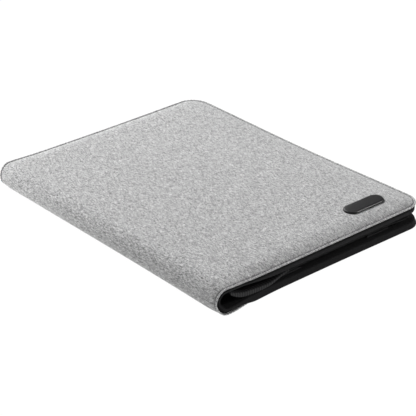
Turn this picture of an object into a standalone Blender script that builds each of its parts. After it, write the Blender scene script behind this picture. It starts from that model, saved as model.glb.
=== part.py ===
"""Tablet case: a soft folio with a heather fabric outside, a rounded soft fold and a black lined inside.

The case lies closed on its back cover. X runs from the fold to the free long edge, Y along the fold,
Z up. The origin is at the middle of the footprint, on the table. Units are metres.
"""

import math

import bmesh
import bpy

# Driving dimensions
CASE_WIDTH = 0.205
CASE_LENGTH = 0.260
CASE_HEIGHT = 0.020
CORNER_RADIUS = 0.016
GAP = 0.0003

# Layers of a cover, as depths below its outer face
SHELL_THICKNESS = 0.0010
SHELL_WALL_DEPTH = 0.0020
SHELL_EDGE_ROUND = 0.0009
FOAM_TOP = SHELL_THICKNESS + GAP
FOAM_BOTTOM = 0.0023
BOARD_TOP = FOAM_BOTTOM + GAP
BOARD_BOTTOM = 0.0042
LINING_TOP = BOARD_BOTTOM + GAP
LINING_THICKNESS = 0.0006
LINING_BOTTOM = LINING_TOP + LINING_THICKNESS
LINING_INSET = 0.0007
LINING_EDGE_ROUND = 0.0005
CORE_INSET = 0.0016

# The fold
FOLD_RADIUS = CASE_HEIGHT / 2
FOLD_X = -CASE_WIDTH / 2 + FOLD_RADIUS
FOLD_STEPS = 20
COVER_START_X = FOLD_X + 0.0005
BOARD_START_X = -CASE_WIDTH / 2 + 0.030
# Hinge axes that let the half-round shell open out to its own flat length
HINGE_INSET = FOLD_RADIUS * (1 - math.pi / 4)
HINGE_X = -CASE_WIDTH / 2 + HINGE_INSET

# Seam thread and its groove
GROOVE_INSET = 0.0031
GROOVE_HALF_WIDTH = 0.0007
GROOVE_DEPTH = 0.0007
GROOVE_SLOPE = 0.0003
THREAD_RADIUS = 0.00017
THREAD_DEPTH = 0.0003

# Document pocket inside the front cover, slack beside the fold
POCKET_START_X = -CASE_WIDTH / 2 + 0.011
POCKET_SEWN_X = -CASE_WIDTH / 2 + 0.071
POCKET_END_X = CASE_WIDTH / 2 - 0.007
POCKET_THICKNESS = 0.0006
POCKET_TOP = LINING_BOTTOM + GAP
POCKET_INSET = 0.0030
POCKET_CORNER_RADIUS = 0.014
POCKET_DROOP = 0.0064
POCKET_EDGE_DROOP = 0.0015
EDGE_DROOP_START_Y = 0.111
DROOP_SKEW = 0.8
TAPE_THICKNESS = 0.0004
TAPE_WIDTH = 0.0060
TAPE_MARGIN_START = 0.002
TAPE_MARGIN_END = 0.004

# Elastic corner straps for the tablet
TABLET_LOW_X = -CASE_WIDTH / 2 + 0.033
TABLET_HIGH_X = CASE_WIDTH / 2 - 0.006
TABLET_HALF_LENGTH = 0.123
STRAP_INNER = 0.0255
STRAP_WIDTH = 0.016
STRAP_OVERLAP = 0.002
STRAP_THICKNESS = 0.0008

# Blank name patch
PATCH_LENGTH = 0.0380
PATCH_WIDTH = 0.0128
PATCH_THICKNESS = 0.00125
PATCH_BEVEL = 0.0003
PATCH_X = 0.0600
PATCH_Y = -0.1080

ARC_STEPS = 9
DROOP_STEPS = 16

COLORS = {
    "heather": ((0.42, 0.42, 0.42, 1), 0.95),
    "lining": ((0.012, 0.012, 0.013, 1), 0.80),
    "foam": ((0.30, 0.30, 0.31, 1), 1.0),
    "board": ((0.33, 0.25, 0.17, 1), 0.9),
    "thread": ((0.16, 0.16, 0.165, 1), 0.6),
    "patch": ((0.03, 0.03, 0.032, 1), 0.45),
    "elastic": ((0.015, 0.015, 0.016, 1), 0.85),
    "tape": ((0.02, 0.02, 0.021, 1), 0.75),
}


def clear_scene():
    for obj in list(bpy.data.objects):
        bpy.data.objects.remove(obj, do_unlink=True)


def make_material(name, kind):
    color, roughness = COLORS[kind]
    material = bpy.data.materials.new(name)
    material.use_nodes = True
    shader = material.node_tree.nodes["Principled BSDF"]
    shader.inputs["Base Color"].default_value = color
    shader.inputs["Roughness"].default_value = roughness
    shader.inputs["Metallic"].default_value = 0.0
    material.diffuse_color = color
    return material


def make_parent(name, location):
    empty = bpy.data.objects.new(name, None)
    empty.empty_display_size = 0.02
    empty.location = location
    bpy.context.scene.collection.objects.link(empty)
    return empty


def place(obj, parent, kind):
    """Parents an object made in world coordinates, so that its origin lies on the parent's joint axis."""
    obj.data.materials.append(make_material(obj.name + "_material", kind))
    obj.parent = parent
    obj.matrix_parent_inverse = parent.matrix_world.inverted()
    return obj


def solid(name, points, faces, parent, kind, sharp_degrees=40):
    mesh = bpy.data.meshes.new(name)
    work = bmesh.new()
    vertices = [work.verts.new(point) for point in points]
    for face in faces:
        work.faces.new([vertices[index] for index in face])
    bmesh.ops.recalc_face_normals(work, faces=work.faces)
    work.to_mesh(mesh)
    work.free()
    mesh.shade_smooth()
    mesh.set_sharp_from_angle(angle=math.radians(sharp_degrees))
    obj = bpy.data.objects.new(name, mesh)
    bpy.context.scene.collection.objects.link(obj)
    return place(obj, parent, kind)


def cover_path(inset, start_x, end_x=CASE_WIDTH / 2, half_length=CASE_LENGTH / 2, radius=CORNER_RADIUS):
    """Open outline of a cover: near short edge, free long edge and far short edge, with round corners."""
    round_radius = radius - inset
    centre_x = end_x - radius
    centre_y = half_length - radius
    points = [(start_x, -half_length + inset)]
    for step in range(ARC_STEPS + 1):
        angle = -math.pi / 2 + math.pi / 2 * step / ARC_STEPS
        x = centre_x + round_radius * math.cos(angle)
        y = -centre_y + round_radius * math.sin(angle)
        points.append((x, y))
    for step in range(ARC_STEPS + 1):
        angle = math.pi / 2 * step / ARC_STEPS
        x = centre_x + round_radius * math.cos(angle)
        y = centre_y + round_radius * math.sin(angle)
        points.append((x, y))
    points.append((start_x, half_length - inset))
    return points


def sweep(rings, closed_ring):
    """Faces that join equal rings of points, with a face on the first and on the last ring."""
    count = len(rings[0])
    points = [point for ring in rings for point in ring]
    faces = [list(range(count)), [(len(rings) - 1) * count + index for index in range(count)][::-1]]
    last = count if closed_ring else count - 1
    for level in range(len(rings) - 1):
        for index in range(last):
            following = (index + 1) % count
            low = level * count
            high = low + count
            faces.append([low + index, high + index, high + following, low + following])
    return points, faces


def cover_layer(name, profile, start_x, to_z, parent, kind):
    """A cover layer from a profile of (inset, depth) pairs, swept round the three free edges."""
    rings = [[(x, y, to_z(depth)) for x, y in cover_path(inset, start_x)] for inset, depth in profile]
    points, faces = sweep(rings, closed_ring=False)
    count = len(rings[0])
    near_ends = [level * count for level in range(len(rings))]
    far_ends = [level * count + count - 1 for level in range(len(rings))]
    faces.append(near_ends + far_ends[::-1])
    return solid(name, points, faces, parent, kind)


def fold_layer(name, profile, parent, kind):
    """A layer of the fold: the covers' profile at both short ends, spun half a turn about the fold's axis."""
    half = CASE_LENGTH / 2
    near = [(-half + inset, depth) for inset, depth in profile]
    far = [(half - inset, depth) for inset, depth in reversed(profile)]
    rings = []
    for step in range(FOLD_STEPS + 1):
        angle = math.pi * step / FOLD_STEPS
        ring = []
        for y, depth in near + far:
            radius = FOLD_RADIUS - depth
            x = FOLD_X - radius * math.sin(angle)
            z = FOLD_RADIUS - radius * math.cos(angle)
            ring.append((x, y, z))
        rings.append(ring)
    points, faces = sweep(rings, closed_ring=True)
    return solid(name, points, faces, parent, kind)


def thread_curve(name, points, parent):
    """A continuous seam thread, as a thin round tube with closed ends."""
    curve = bpy.data.curves.new(name, "CURVE")
    curve.dimensions = "3D"
    curve.bevel_depth = THREAD_RADIUS
    curve.bevel_resolution = 1
    curve.use_fill_caps = True
    spline = curve.splines.new("POLY")
    spline.points.add(len(points) - 1)
    for target, point in zip(spline.points, points):
        target.co = (*point, 1)
    obj = bpy.data.objects.new(name, curve)
    bpy.context.scene.collection.objects.link(obj)
    return place(obj, parent, "thread")


def shell_profile():
    """Outer fabric: flat face, seam groove, rounded edge and a short turned-in wall."""
    groove_in = GROOVE_INSET + GROOVE_HALF_WIDTH
    groove_out = GROOVE_INSET - GROOVE_HALF_WIDTH
    round_middle = SHELL_EDGE_ROUND * (1 - math.sqrt(0.5))
    return [
        (groove_in, 0),
        (groove_in - GROOVE_SLOPE, GROOVE_DEPTH),
        (groove_out + GROOVE_SLOPE, GROOVE_DEPTH),
        (groove_out, 0),
        (SHELL_EDGE_ROUND, 0),
        (round_middle, round_middle),
        (0, SHELL_EDGE_ROUND),
        (0, SHELL_WALL_DEPTH),
        (SHELL_THICKNESS, SHELL_WALL_DEPTH),
        (SHELL_THICKNESS, SHELL_THICKNESS),
    ]


def lining_profile():
    """Lining: a wall that rises from just below the shell's wall, a rounded edge and the inner face."""
    wall_inner = LINING_INSET + LINING_THICKNESS
    return [
        (wall_inner, LINING_TOP),
        (wall_inner, SHELL_WALL_DEPTH + GAP),
        (LINING_INSET, SHELL_WALL_DEPTH + GAP),
        (LINING_INSET, LINING_BOTTOM - LINING_EDGE_ROUND),
        (LINING_INSET + LINING_EDGE_ROUND, LINING_BOTTOM),
    ]


def flat_profile(top, bottom, inset):
    return [(inset, top), (inset, bottom)]


def foam_with_step(name, to_z, parent):
    """Foam: one thin sheet over the cover, thicker beside the fold, where there is no board."""
    profile = flat_profile(FOAM_TOP, FOAM_BOTTOM, CORE_INSET)
    obj = cover_layer(name, profile, COVER_START_X, to_z, parent, "foam")
    half = CASE_LENGTH / 2 - CORE_INSET
    step_end_x = BOARD_START_X - GAP
    middle = (FOAM_TOP + FOAM_BOTTOM) / 2
    rings = [
        [(COVER_START_X, -half, to_z(depth)), (step_end_x, -half, to_z(depth)),
         (step_end_x, half, to_z(depth)), (COVER_START_X, half, to_z(depth))]
        for depth in (middle, BOARD_BOTTOM)
    ]
    points, faces = sweep(rings, closed_ring=True)
    block = solid(name + "_step", points, faces, parent, "foam")
    block.hide_render = True
    block.display_type = "WIRE"
    union = obj.modifiers.new("step", "BOOLEAN")
    union.operation = "UNION"
    union.solver = "EXACT"
    union.object = block
    return obj


def cover_thread(name, to_z, parent):
    start_x = COVER_START_X + GAP
    path = [(x, y, to_z(THREAD_DEPTH)) for x, y in cover_path(GROOVE_INSET, start_x)]
    return thread_curve(name, path, parent)


def fold_thread(name, side, parent):
    radius = FOLD_RADIUS - THREAD_DEPTH
    y = side * (CASE_LENGTH / 2 - GROOVE_INSET)
    path = []
    for step in range(FOLD_STEPS + 1):
        angle = math.pi * step / FOLD_STEPS
        path.append((FOLD_X - radius * math.sin(angle), y, FOLD_RADIUS - radius * math.cos(angle)))
    return thread_curve(name, path, parent)


def make_cover(side, to_z, parent):
    """Shell, foam, board, lining and seam thread of one cover."""
    cover_layer(side + "_shell", shell_profile(), COVER_START_X, to_z, parent, "heather")
    foam_with_step(side + "_foam", to_z, parent)
    board = flat_profile(BOARD_TOP, BOARD_BOTTOM, CORE_INSET)
    cover_layer(side + "_board", board, BOARD_START_X, to_z, parent, "board")
    cover_layer(side + "_lining", lining_profile(), COVER_START_X, to_z, parent, "lining")
    cover_thread(side + "_thread", to_z, parent)


def make_spine(parent):
    fold_layer("spine_shell", shell_profile(), parent, "heather")
    fold_layer("spine_foam", flat_profile(FOAM_TOP, BOARD_BOTTOM, CORE_INSET), parent, "foam")
    fold_layer("spine_lining", lining_profile(), parent, "lining")
    fold_thread("spine_thread_near", -1, parent)
    fold_thread("spine_thread_far", 1, parent)


def smooth_step(value):
    value = min(max(value, 0.0), 1.0)
    return value * value * (3 - 2 * value)


def pocket_top_z(x, y):
    """Height of the pocket panel's upper face: flat where it is sewn, hanging down beside the fold."""
    flat_z = CASE_HEIGHT - POCKET_TOP
    share = (x - POCKET_START_X) / (POCKET_SEWN_X - POCKET_START_X)
    if share <= 0 or share >= 1:
        return flat_z
    edge_span = CASE_LENGTH / 2 - POCKET_INSET - EDGE_DROOP_START_Y
    edge = smooth_step((abs(y) - EDGE_DROOP_START_Y) / edge_span)
    droop = POCKET_DROOP + POCKET_EDGE_DROOP * edge
    return flat_z - droop * math.sin(math.pi * share ** DROOP_SKEW)


def pocket_half_length(x):
    """Half the pocket's length at x, less towards its round corners at the free edge."""
    half = CASE_LENGTH / 2 - POCKET_INSET
    past = x - (POCKET_END_X - POCKET_CORNER_RADIUS)
    if past <= 0:
        return half
    drop = POCKET_CORNER_RADIUS - math.sqrt(max(POCKET_CORNER_RADIUS ** 2 - past ** 2, 0.0))
    return half - drop


def pocket_columns():
    """X of each column of the pocket: close together where it hangs and round its corners."""
    span = POCKET_SEWN_X - POCKET_START_X
    columns = [POCKET_START_X + span * step / DROOP_STEPS for step in range(DROOP_STEPS + 1)]
    for step in range(ARC_STEPS + 1):
        angle = math.pi / 2 * step / ARC_STEPS
        columns.append(POCKET_END_X - POCKET_CORNER_RADIUS * (1 - math.sin(angle)))
    return columns


def make_document_pocket(parent):
    edge_y = CASE_LENGTH / 2 - POCKET_INSET
    middle_y = EDGE_DROOP_START_Y
    blend_y = (edge_y + middle_y) / 2
    shares = [-1, -blend_y / edge_y, -middle_y / edge_y, middle_y / edge_y, blend_y / edge_y, 1]
    rings = []
    for x in pocket_columns():
        row = [(x, share * pocket_half_length(x)) for share in shares]
        top = [(x, y, pocket_top_z(x, y)) for x, y in row]
        bottom = [(x, y, z - POCKET_THICKNESS) for x, y, z in reversed(top)]
        rings.append(top + bottom)
    points, faces = sweep(rings, closed_ring=True)
    return solid("document_pocket", points, faces, parent, "lining")


def make_pocket_tape(name, side, parent):
    """Binding folded over the pocket's loose edge, as a sideways U that follows the hanging panel."""
    panel_edge = CASE_LENGTH / 2 - POCKET_INSET
    outer = panel_edge + GAP + TAPE_THICKNESS
    inner = outer - TAPE_WIDTH
    above = GAP
    below = -POCKET_THICKNESS - GAP
    outline = [
        (inner, above + TAPE_THICKNESS),
        (outer, above + TAPE_THICKNESS),
        (outer, below - TAPE_THICKNESS),
        (inner, below - TAPE_THICKNESS),
        (inner, below),
        (panel_edge + GAP, below),
        (panel_edge + GAP, above),
        (inner, above),
    ]
    start_x = POCKET_START_X + TAPE_MARGIN_START
    end_x = POCKET_SEWN_X - TAPE_MARGIN_END
    rings = []
    for step in range(DROOP_STEPS + 1):
        x = start_x + (end_x - start_x) * step / DROOP_STEPS
        rings.append([(x, side * y, pocket_top_z(x, min(y, panel_edge)) + lift) for y, lift in outline])
    points, faces = sweep(rings, closed_ring=True)
    return solid(name, points, faces, parent, "tape")


def make_strap(name, corner_x, corner_y, parent):
    """Flat elastic band across one corner of the tablet's place, cut parallel to the cover's edges."""
    toward_x = 1 if corner_x < 0 else -1
    toward_y = 1 if corner_y < 0 else -1
    outer = STRAP_INNER + STRAP_WIDTH * math.sqrt(2)
    outline = [
        (STRAP_INNER + STRAP_OVERLAP, -STRAP_OVERLAP),
        (outer + STRAP_OVERLAP, -STRAP_OVERLAP),
        (-STRAP_OVERLAP, outer + STRAP_OVERLAP),
        (-STRAP_OVERLAP, STRAP_INNER + STRAP_OVERLAP),
    ]
    base_z = LINING_BOTTOM + GAP
    corners = [(corner_x + toward_x * along, corner_y + toward_y * across) for along, across in outline]
    rings = [[(x, y, z) for x, y in corners] for z in (base_z, base_z + STRAP_THICKNESS)]
    points, faces = sweep(rings, closed_ring=True)
    return solid(name, points, faces, parent, "elastic")


def make_name_patch(parent):
    """Blank raised patch with half-round ends and a bevelled rim."""
    base_z = CASE_HEIGHT + GAP
    top_z = base_z + PATCH_THICKNESS
    rings = []
    for inset, z in ((0, base_z), (0, top_z - PATCH_BEVEL), (PATCH_BEVEL, top_z)):
        radius = PATCH_WIDTH / 2 - inset
        reach = (PATCH_LENGTH - PATCH_WIDTH) / 2
        ring = []
        for end in (1, -1):
            for step in range(2 * ARC_STEPS + 1):
                angle = -math.pi / 2 + math.pi * step / (2 * ARC_STEPS)
                x = PATCH_X + end * (reach + radius * math.cos(angle))
                y = PATCH_Y + end * radius * math.sin(angle)
                ring.append((x, y, z))
        rings.append(ring)
    points, faces = sweep(rings, closed_ring=True)
    return solid("name_patch", points, faces, parent, "patch")


def back_z(depth):
    return depth


def front_z(depth):
    return CASE_HEIGHT - depth


def main():
    clear_scene()
    back_parent = make_parent("back_cover_origin", (0, 0, 0))
    spine_parent = make_parent("spine_axis", (HINGE_X, 0, HINGE_INSET))
    front_parent = make_parent("front_cover_axis", (HINGE_X, 0, CASE_HEIGHT - HINGE_INSET))
    bpy.context.view_layer.update()

    make_cover("back", back_z, back_parent)
    make_strap("strap_fold_near", TABLET_LOW_X, -TABLET_HALF_LENGTH, back_parent)
    make_strap("strap_fold_far", TABLET_LOW_X, TABLET_HALF_LENGTH, back_parent)
    make_strap("strap_edge_near", TABLET_HIGH_X, -TABLET_HALF_LENGTH, back_parent)
    make_strap("strap_edge_far", TABLET_HIGH_X, TABLET_HALF_LENGTH, back_parent)

    make_spine(spine_parent)

    make_cover("front", front_z, front_parent)
    make_name_patch(front_parent)
    make_document_pocket(front_parent)
    make_pocket_tape("pocket_tape_near", -1, front_parent)
    make_pocket_tape("pocket_tape_far", 1, front_parent)


main()
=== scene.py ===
"""Looks of the tablet case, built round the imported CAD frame.

The closed case lies on its back cover. Both covers are described on the cloth laid out flat:
s is the distance from the middle of the fold along the cloth, y the distance along the fold,
and depth how far a point lies below the cloth's nominal outer face. on_case() wraps that round
the fold and over a cover. Lengths are in metres.
"""

import math

import bpy
import numpy as np
from mathutils import Matrix, Vector, noise


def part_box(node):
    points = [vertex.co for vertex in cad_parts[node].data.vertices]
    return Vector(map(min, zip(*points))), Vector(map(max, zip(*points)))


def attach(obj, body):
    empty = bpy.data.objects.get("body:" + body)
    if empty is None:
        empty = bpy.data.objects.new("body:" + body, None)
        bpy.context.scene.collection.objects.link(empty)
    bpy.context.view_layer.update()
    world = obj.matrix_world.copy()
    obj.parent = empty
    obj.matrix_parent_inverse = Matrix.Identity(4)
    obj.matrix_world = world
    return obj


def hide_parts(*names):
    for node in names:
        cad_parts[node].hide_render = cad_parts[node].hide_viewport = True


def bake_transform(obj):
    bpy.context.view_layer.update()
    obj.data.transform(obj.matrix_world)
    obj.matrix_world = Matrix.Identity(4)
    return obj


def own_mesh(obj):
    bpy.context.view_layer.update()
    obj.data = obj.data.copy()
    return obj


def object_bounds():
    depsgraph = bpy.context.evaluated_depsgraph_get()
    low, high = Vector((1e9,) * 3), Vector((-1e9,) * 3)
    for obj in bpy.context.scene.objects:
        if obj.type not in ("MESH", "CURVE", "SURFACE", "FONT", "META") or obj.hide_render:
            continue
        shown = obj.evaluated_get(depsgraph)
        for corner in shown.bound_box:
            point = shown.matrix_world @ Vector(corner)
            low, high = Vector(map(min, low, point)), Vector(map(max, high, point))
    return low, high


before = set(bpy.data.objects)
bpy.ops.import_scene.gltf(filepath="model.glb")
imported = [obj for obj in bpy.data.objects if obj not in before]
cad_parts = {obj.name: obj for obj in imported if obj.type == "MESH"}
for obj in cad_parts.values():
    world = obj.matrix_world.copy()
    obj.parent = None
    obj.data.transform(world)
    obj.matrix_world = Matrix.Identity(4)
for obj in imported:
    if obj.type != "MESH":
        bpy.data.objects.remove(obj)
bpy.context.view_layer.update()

MM = 0.001

# Dimensions read from the frame
SPINE_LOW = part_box("spine_shell")[0]
SHELL_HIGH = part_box("front_shell")[1]
HEIGHT = SHELL_HIGH.z
HALF_LENGTH = SHELL_HIGH.y
FOLD_RADIUS = HEIGHT / 2
FOLD_X = SPINE_LOW.x + FOLD_RADIUS
QUARTER = FOLD_RADIUS * math.pi / 2
REACH = SHELL_HIGH.x - FOLD_X + QUARTER
LINING_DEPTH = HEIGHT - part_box("front_lining")[0].z

DIRECTION = {"front": 1, "back": -1}
UV_UNIT = 10 * MM

# Edge of the outer cloth
CORNER_RADIUS = 16.0 * MM
GROOVE_INSET = 1.85 * MM
GROOVE_DEPTH = 0.30 * MM
GROOVE_WIDTH = 0.50 * MM
BEAD_INSET = 0.9 * MM
BEAD_LIFT = 0.22 * MM
BEAD_WIDTH = 0.55 * MM
ROLL_WIDTH = 11.5 * MM
ROLL_POWER = 1.6
RIM_ROUND = 0.4 * MM
RIM_BOTTOM = 0.95 * MM
HEM_ROUND = 0.30 * MM
HEM_FLAT = 0.6 * MM
HEM_RISE = 0.15 * MM
HEM_TURN_IN = 1.6 * MM
CLOTH_THICKNESS = 0.45 * MM

# Face of the outer cloth
CROWN = {"front": 1.3 * MM, "back": 0.0}
ROLL = {"front": 3.1 * MM, "back": 0.8 * MM}
FAR_CROWN_LESS = 0.85 * MM
FAR_ROLL_LESS = 0.75 * MM
FOLD_CROWN = 0.3 * MM
FOLD_ROLL = 0.9 * MM
CROWN_SETTLES = 45 * MM
FAR_SAG = 0.6 * MM
FREE_SAG = 1.5 * MM
SAG_REACH = 45 * MM
# Long soft waves: height, length and seed of each
WAVES = {"front": ((0.16 * MM, 34 * MM, 3.0), (0.05 * MM, 13 * MM, 8.0)),
         "back": ((0.16 * MM, 34 * MM, 11.0), (0.05 * MM, 13 * MM, 16.0))}
WAVES_SETTLE = 25 * MM

# How the sewn case differs from a true box. A ramp is where it starts along s, and its length.
ENDS_START = 0.6
NEAR_FOLD_TUCK = 0.8 * MM
FAR_FOLD_TUCK = 2.0 * MM
FOLD_TUCK_REACH = 24 * MM
FAR_EDGE_AT_FOLD = -1.5 * MM
FAR_EDGE_AT_FREE = 2.3 * MM
BACK_TUCK = 1.3 * MM
BACK_TUCK_RAMP = (20 * MM, 22 * MM)
BACK_LONGER = 1.3 * MM
BACK_LONGER_RAMP = (0.6 * REACH, 0.4 * REACH)
BACK_WIDER = 0.8 * MM
BACK_WIDER_RAMP = (0.5 * REACH, 0.5 * REACH)
BACK_NEAR_OUT = 1.6 * MM
BACK_NEAR_RAMP_UP = (0.0, 12 * MM)
BACK_NEAR_RAMP_DOWN = (22 * MM, 45 * MM)
NEAR_FOLD_BULGE = 1.2 * MM
BULGE_RAMP_DOWN = (10 * MM, 32 * MM)

# Mesh steps of a sheet: a coarse grid, and fine rings round it from the innermost out
COARSE_STEP = 2.9 * MM
COARSE_INSET = 6.2 * MM
STRETCH_STARTS = 60 * MM
FOLD_COLUMNS = 20
ARC_STOPS = 9
FINE_PER_COARSE = 4
RING_INSETS = np.array([5.2, 4.4, 3.7, 3.1, 2.65, 2.3, 2.0, 1.75, 1.5, 1.25, 1.0, 0.8, 0.65]) * MM

# Seam
FOLD_STITCH_COLUMNS = 4
THREAD_RADIUS = 0.20 * MM
THREAD_SIDES = 6
THREAD_TAPER = (0.18, 0.82)
STITCH_RISE = np.array([-0.45, -0.05, 0.12, 0.18, 0.20, 0.18, 0.12, -0.05, -0.45]) * MM
HOLE_DEPTH = 0.35 * MM
HOLE_WIDTH = 0.35 * MM
PUCKER = 0.26 * MM
PUCKER_REACH = 3.2 * MM


# ---------------- shape helpers

def smooth_step(value):
    """From 0 to 1 with a level start and end, as the value goes from 0 to 1."""
    value = np.clip(value, 0.0, 1.0)
    return value * value * (3 - 2 * value)


def ripple(s, y, scale, seed):
    """Smooth noise from -1 to 1 over the laid-out cloth, the same at each run."""
    flat = [noise.noise(Vector((a / scale, b / scale, seed))) for a, b in zip(np.ravel(s), np.ravel(y))]
    return np.array(flat).reshape(np.shape(s))


def waves(s, y, table):
    """Sum of smooth noises, each given by its height, its length and its seed."""
    return sum(height * ripple(s, y, length, seed) for height, length, seed in table)


def past_fold(s, start, length):
    """From 0 to 1 over a length of cloth that starts a given distance from the fold's middle."""
    return smooth_step((s - start) / length)


def settled_plan(side, s, y):
    """The sewn case isn't a true rectangle: the fold's ends are drawn in and the far edge is askew."""
    on_back = side == "back"
    end = np.clip((np.abs(y) / HALF_LENGTH - ENDS_START) / (1 - ENDS_START), 0, 1) ** 2
    drawn_in = np.where(y < 0, NEAR_FOLD_TUCK, FAR_FOLD_TUCK) * (1 - smooth_step(s / FOLD_TUCK_REACH))
    askew = FAR_EDGE_AT_FOLD + (FAR_EDGE_AT_FREE - FAR_EDGE_AT_FOLD) * s / REACH
    longer = BACK_LONGER * past_fold(s, *BACK_LONGER_RAMP) * on_back
    beside_fold = past_fold(s, *BACK_NEAR_RAMP_UP) * (1 - past_fold(s, *BACK_NEAR_RAMP_DOWN))
    wider = BACK_WIDER * past_fold(s, *BACK_WIDER_RAMP) + BACK_NEAR_OUT * beside_fold
    wider = wider * on_back * (y < 0)
    return s + longer, y - np.sign(y) * drawn_in * end + askew * end * (y > 0) - wider * end


def on_case(side, s, y, depth):
    """Wraps points of the laid-out cloth round the fold and over a cover."""
    near_end = np.clip(-y / HALF_LENGTH, 0, 1) ** 2
    bulge = NEAR_FOLD_BULGE * near_end * (1 - past_fold(s, *BULGE_RAMP_DOWN))
    s, y = settled_plan(side, s, y)
    radius = FOLD_RADIUS - depth + bulge * (1 - DIRECTION[side] * np.sin(s / FOLD_RADIUS)) / 2
    angle = np.minimum(s / FOLD_RADIUS, math.pi / 2)
    past = np.maximum(s - QUARTER, 0.0)
    x = FOLD_X - radius * np.cos(angle) + past
    z = FOLD_RADIUS + radius * np.sin(angle)
    if side == "back":
        z = HEIGHT - z
    return np.stack([x, y, z], axis=-1)


def inset_of(s, y):
    """Distance of a point of the laid-out cloth from the cover's three free edges."""
    out_s = s - (REACH - CORNER_RADIUS)
    out_y = np.abs(y) - (HALF_LENGTH - CORNER_RADIUS)
    beyond = np.hypot(np.maximum(out_s, 0), np.maximum(out_y, 0))
    return CORNER_RADIUS - beyond - np.minimum(np.maximum(out_s, out_y), 0)


def settle(side, s, table, at_fold):
    """A cover's own value away from the fold, and one that both covers share in the fold."""
    return at_fold + (table[side] - at_fold) * smooth_step(s / CROWN_SETTLES)


def face_depth(side, s, y, inset):
    """Depth of the outer cloth: crowned, rolling down to the seam, with long soft undulations."""
    flatter = smooth_step((1 + y / HALF_LENGTH) / 2) * smooth_step(s / CROWN_SETTLES) * (side == "front")
    crown = settle(side, s, CROWN, FOLD_CROWN) - FAR_CROWN_LESS * flatter
    roll = settle(side, s, ROLL, FOLD_ROLL) - FAR_ROLL_LESS * flatter
    near_seam = np.clip(1 - (inset - GROOVE_INSET) / ROLL_WIDTH, 0, 1)
    depth = roll * near_seam ** ROLL_POWER - crown
    groove = np.exp(-((inset - GROOVE_INSET) / GROOVE_WIDTH) ** 2)
    bead = np.exp(-((inset - BEAD_INSET) / BEAD_WIDTH) ** 2)
    depth = depth + GROOVE_DEPTH * groove - BEAD_LIFT * bead
    if side == "front":
        depth = depth + sag_of(s, y)
    return depth + undulation(side, s, y) * (1 - near_seam)


def sag_of(s, y):
    """The front cover bends down a little along the middle of its far edge and of its free edge."""
    far = np.clip((y - HALF_LENGTH + SAG_REACH) / SAG_REACH, 0, 1) ** 2
    free = np.clip((s - REACH + SAG_REACH) / SAG_REACH, 0, 1) ** 2
    along_far = np.sin(math.pi * np.clip(s / REACH, 0, 1)) ** 2
    along_free = np.cos(math.pi / 2 * np.clip(y / HALF_LENGTH, -1, 1)) ** 2
    return FAR_SAG * far * along_far + FREE_SAG * free * along_free


def undulation(side, s, y):
    """Long soft waves of the cloth, none of them in the fold's middle."""
    return waves(s, y, WAVES[side]) * smooth_step(s / WAVES_SETTLE)


# ---------------- outline of a cover

def corner_stops(start, centre_y):
    """Stops round a corner at the free edge, over a quarter turn from a starting angle."""
    stops = []
    for i in range(ARC_STOPS):
        angle = start + math.pi / 2 * i / ARC_STOPS
        normal = (math.cos(angle), math.sin(angle))
        stops.append((REACH - CORNER_RADIUS + CORNER_RADIUS * normal[0],
                      centre_y + CORNER_RADIUS * normal[1], *normal, FINE_PER_COARSE))
    return stops


def outline_stops():
    """Coarse stops along a cover's edge, from the fold's middle round the free edge and back.

    Each is (s, y, normal_s, normal_y, pieces), pieces being the fine steps up to the next stop."""
    flat_end = REACH - CORNER_RADIUS
    centre_y = HALF_LENGTH - CORNER_RADIUS
    flat_steps = round((flat_end - QUARTER) / COARSE_STEP)
    edge_steps = round(2 * centre_y / COARSE_STEP)
    columns = [QUARTER * i / FOLD_COLUMNS for i in range(FOLD_COLUMNS)]
    columns += [QUARTER + (flat_end - QUARTER) * i / flat_steps for i in range(flat_steps)]
    pieces = [1] * FOLD_COLUMNS + [FINE_PER_COARSE] * flat_steps
    stops = [(s, -HALF_LENGTH, 0.0, -1.0, count) for s, count in zip(columns, pieces)]
    stops += corner_stops(-math.pi / 2, -centre_y)
    for i in range(edge_steps):
        stops.append((REACH, -centre_y + 2 * centre_y * i / edge_steps, 1.0, 0.0, FINE_PER_COARSE))
    stops += corner_stops(0.0, centre_y)
    far_columns = [flat_end] + columns[::-1]
    stops += [(s, HALF_LENGTH, 0.0, 1.0, count) for s, count in zip(far_columns, pieces[::-1] + [0])]
    return np.array(stops), len(columns)


def fine_stops(stops):
    """Points between the coarse stops, and each coarse stop's place among them."""
    fine, places = [], []
    for here, following in zip(stops[:-1], stops[1:]):
        places.append(len(fine))
        for i in range(int(here[4])):
            share = i / here[4]
            normal = here[2:4] * (1 - share) + following[2:4] * share
            length = np.hypot(*normal)
            bulge = CORNER_RADIUS * (1 - length) if length < 1 else 0.0
            normal = normal / length
            edge = here[:2] * (1 - share) + following[:2] * share + normal * bulge
            fine.append((*edge, *normal))
    places.append(len(fine))
    fine.append(tuple(stops[-1][:4]))
    return np.array(fine), places


def needle_holes():
    """Places of the needle holes among the fine stops: one at each coarse stop, fewer in the fold."""
    last = len(FINE_PLACES) - 1
    near = list(range(0, FOLD_COLUMNS, FOLD_STITCH_COLUMNS))
    far = [last - k for k in reversed(near)]
    holes = near + list(range(FOLD_COLUMNS, last - FOLD_COLUMNS + 1)) + far
    return [FINE_PLACES[k] for k in holes]


COARSE_STOPS, EDGE_COLUMNS = outline_stops()
FINE_STOPS, FINE_PLACES = fine_stops(COARSE_STOPS)
HOLES = needle_holes()
AT_HOLE = np.zeros(len(FINE_STOPS))
AT_HOLE[HOLES] = 1.0


def inside_edge(inset):
    """Fine stops moved in from the cloth's edge, by one distance or by one for each stop."""
    each = np.broadcast_to(inset, len(FINE_STOPS))[:, None]
    return FINE_STOPS[:, :2] - FINE_STOPS[:, 2:4] * each


# ---------------- mesh helpers

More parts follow.
